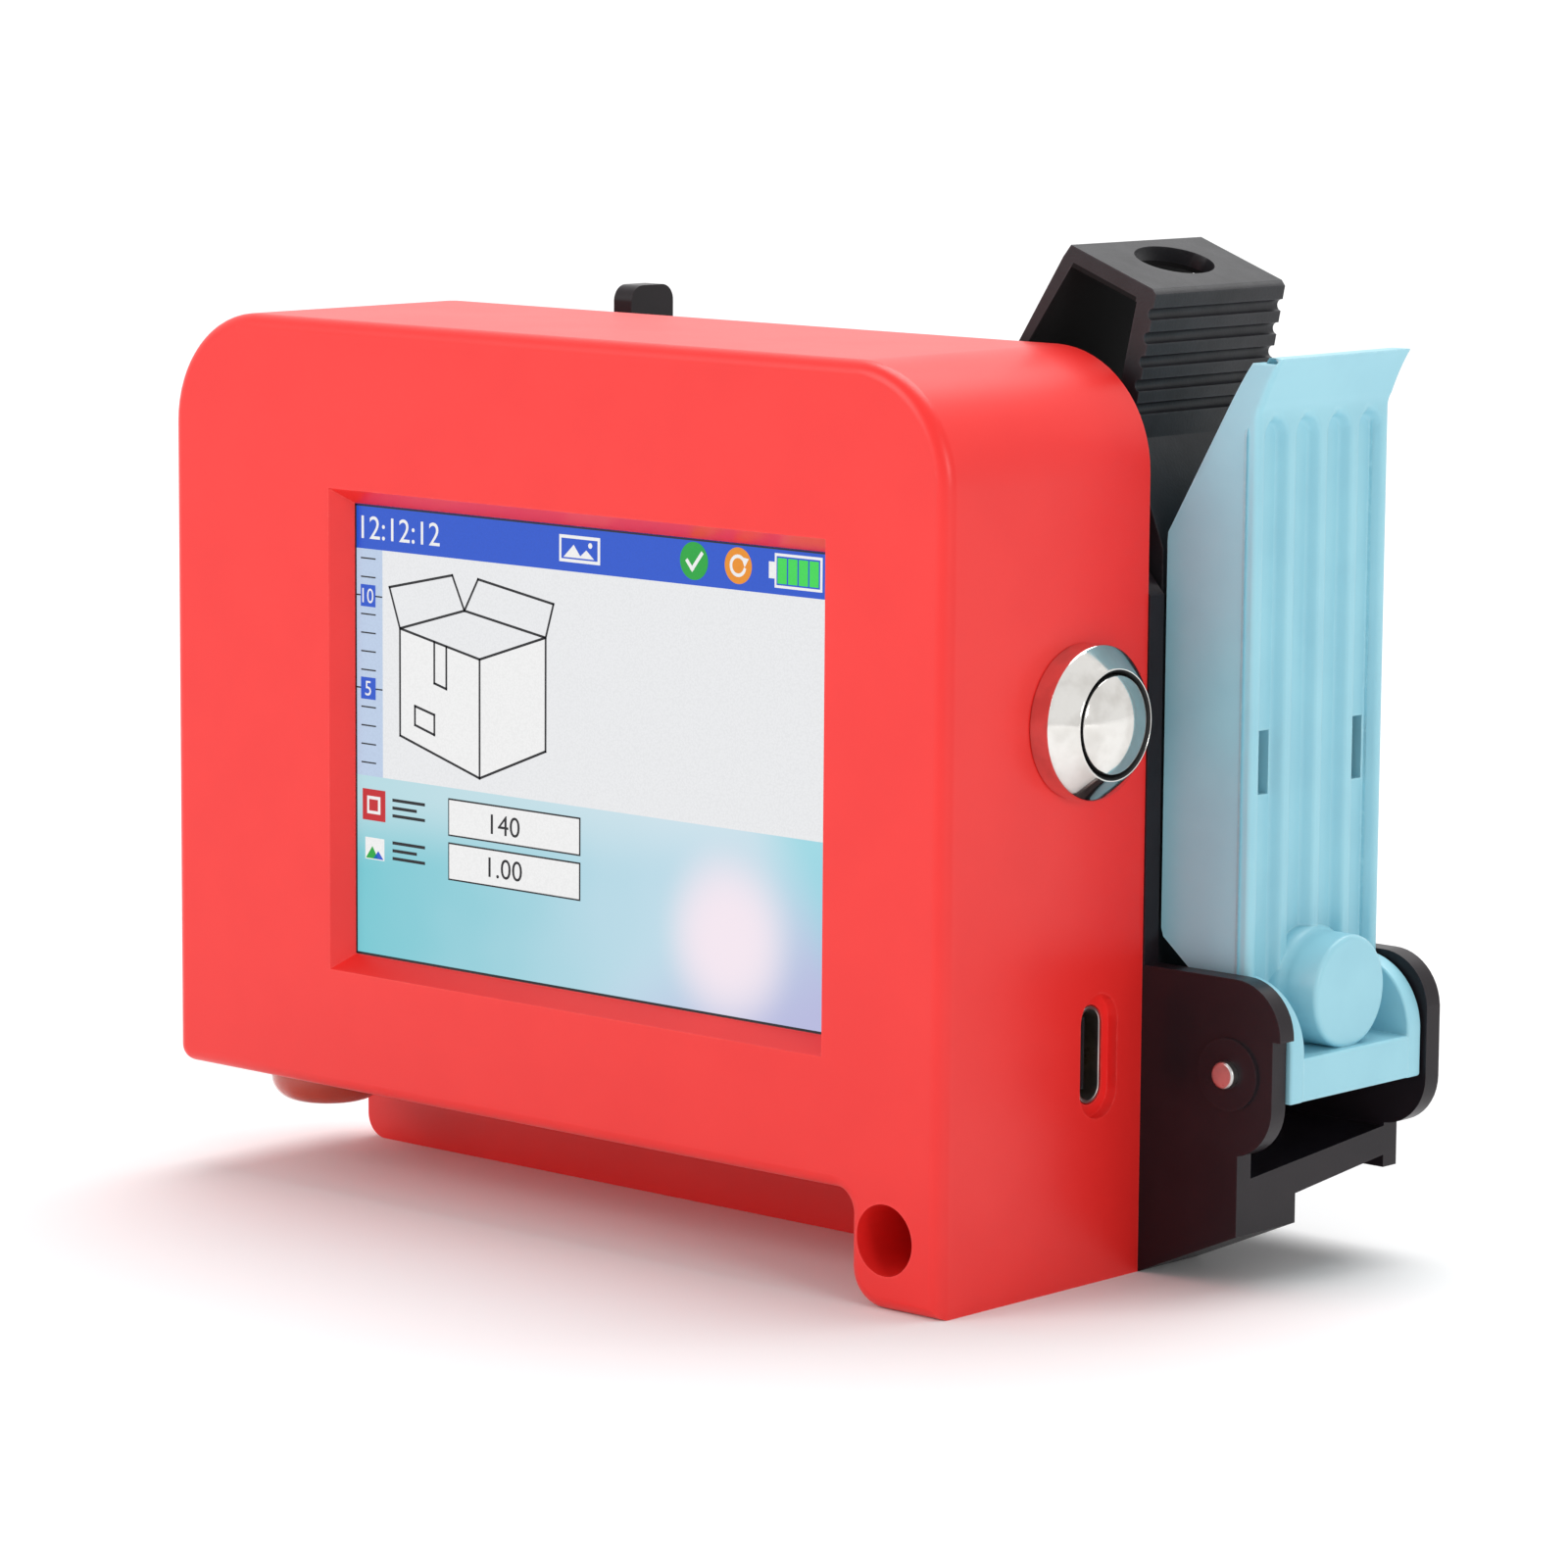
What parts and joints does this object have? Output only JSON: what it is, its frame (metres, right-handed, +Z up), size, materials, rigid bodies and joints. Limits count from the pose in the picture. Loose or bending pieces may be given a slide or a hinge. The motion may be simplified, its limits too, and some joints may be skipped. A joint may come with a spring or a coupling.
{
  "type": "date code inkjet printer",
  "caption": "Small date code inkjet printer: red case with touch screen, push button and charging socket, and a black stall holding an ink cartridge under a hinged latch.",
  "frame": {"origin": "middle of the object's footprint, on the surface it stands on", "axes": "+Z up, -Y out of the screen, +X towards the side with the button, the charging socket and the latch"},
  "size_m": [0.1146, 0.053, 0.0928],
  "materials": {
    "red_case": "satin moulded ABS",
    "glass": "clear touch glass over the screen",
    "screen": "lit display",
    "steel": "plated steel",
    "chrome": "polished",
    "black_plastic": "moulded ABS",
    "blue_plastic": "moulded acetal",
    "cartridge_plastic": "moulded, lightly grained",
    "board": "solder mask",
    "chip": "epoxy",
    "connector": "nylon",
    "battery": "foil pouch",
    "foam": "adhesive foam",
    "wire": "insulated wire",
    "ribbon": "flat flexible cable",
    "sensor_orange": "tinted acrylic",
    "gold": "gold plated contacts",
    "flex": "amber polyimide film",
    "ink_film": "ink filled film"
  },
  "bodies": {
    "case": {"front_shell": "red_case", "rear_cover": "red_case", "cover_screws": "steel", "touch_panel": "glass", "lcd_panel": "screen", "lcd_frame": "steel", "screen_retainer": "black_plastic", "retainer_screws": "steel", "main_board": "board", "board_screws": "steel", "processor_shield": "steel", "board_chips": "chip", "board_connectors": "connector", "buzzer": "black_plastic", "battery_pack": "battery", "battery_pad": "foam", "battery_lead": "wire", "ribbon_cable": "ribbon", "button_bezel": "chrome", "button_nut": "chrome", "button_washer": "foam", "button_contact_block": "black_plastic", "button_spring": "steel", "button_terminals": "gold", "button_lead": "wire", "socket_shell": "steel", "socket_tongue": "black_plastic", "socket_board": "board", "socket_carrier": "black_plastic", "socket_screws": "steel", "sensor_lens": "sensor_orange", "sensor_board": "board", "sensor_chips": "chip", "stall_body": "black_plastic", "stall_screws": "steel", "contact_board": "board", "contact_pins": "gold", "contact_socket": "connector", "contact_cover": "black_plastic", "contact_cover_screws": "steel", "latch_pin": "steel"},
    "trigger": {"button_plunger": "chrome"},
    "latch": {"latch": "blue_plastic", "pad_spring": "steel"},
    "pad": {"pressure_pad": "blue_plastic"},
    "cartridge": {"cartridge_body": "cartridge_plastic", "cartridge_lid": "cartridge_plastic", "ink_bag": "ink_film", "ink_filter": "steel", "filler_plug": "steel", "contact_flex": "flex", "nozzle_plate": "gold"}
  },
  "joints": [
    {"name": "latch_swing", "type": "hinge", "parent": "case", "child": "latch", "pos_m": [0.0516, 0.0134, 0.0197], "axis": [0, 1, 0], "range_deg": [0, 95]},
    {"name": "pad_press", "type": "slide", "parent": "latch", "child": "pad", "axis": [1, 0, 0], "range_m": [0, 0.002], "stiffness_N_per_m": 400, "springref_m": -0.0005, "deforming": ["pad_spring"]},
    {"name": "cartridge_lift", "type": "slide", "parent": "case", "child": "cartridge", "axis": [0, 0, 1], "range_m": [0, 0.075]},
    {"name": "trigger_press", "type": "slide", "parent": "case", "child": "trigger", "axis": [-1, 0, 0], "range_m": [0, 0.0015], "stiffness_N_per_m": 900, "springref_m": -0.001, "deforming": ["button_spring"]}
  ]
}
